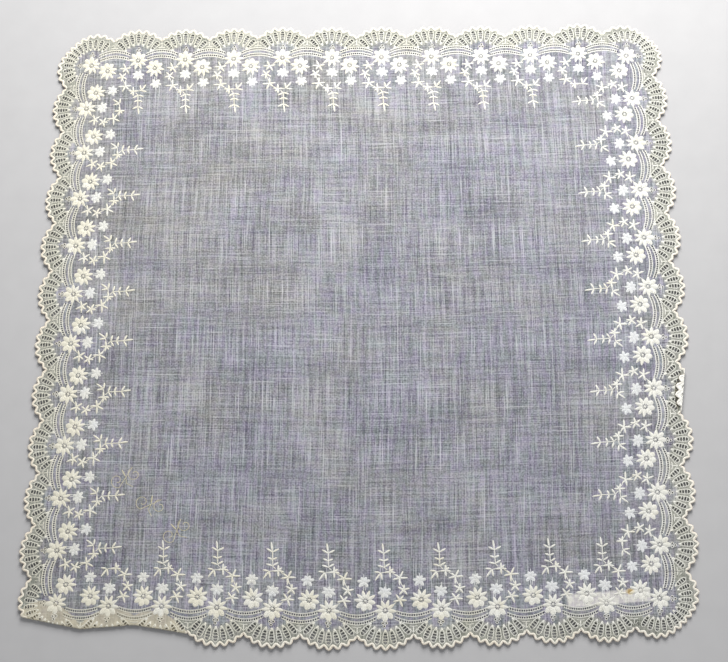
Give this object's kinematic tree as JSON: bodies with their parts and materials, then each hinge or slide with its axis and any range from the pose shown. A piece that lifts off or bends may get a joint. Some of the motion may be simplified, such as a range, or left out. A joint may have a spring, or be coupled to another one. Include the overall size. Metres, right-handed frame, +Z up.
{
  "type": "lace handkerchief",
  "caption": "Square sheer cotton handkerchief lying flat, with a scalloped openwork edge of fans, flowers and sprays, one scallop folded over and one corner's edge folded under.",
  "frame": {"origin": "on the surface that the cloth lies on, under the middle of the whole part's box", "axes": "+X to the picture's right along the near side, +Y away from the viewer towards the picture's top, +Z up out of the cloth's face"},
  "size_m": [0.3038, 0.3048, 0.0027],
  "materials": {
    "sheer_cloth": "sheer plain weave, grey-white, with cream-white satin stitch",
    "cotton_tape": "opaque white cotton tape, matt"
  },
  "bodies": {
    "root": {"handkerchief": "sheer_cloth", "backing_tape": "cotton_tape"}
  },
  "joints": []
}
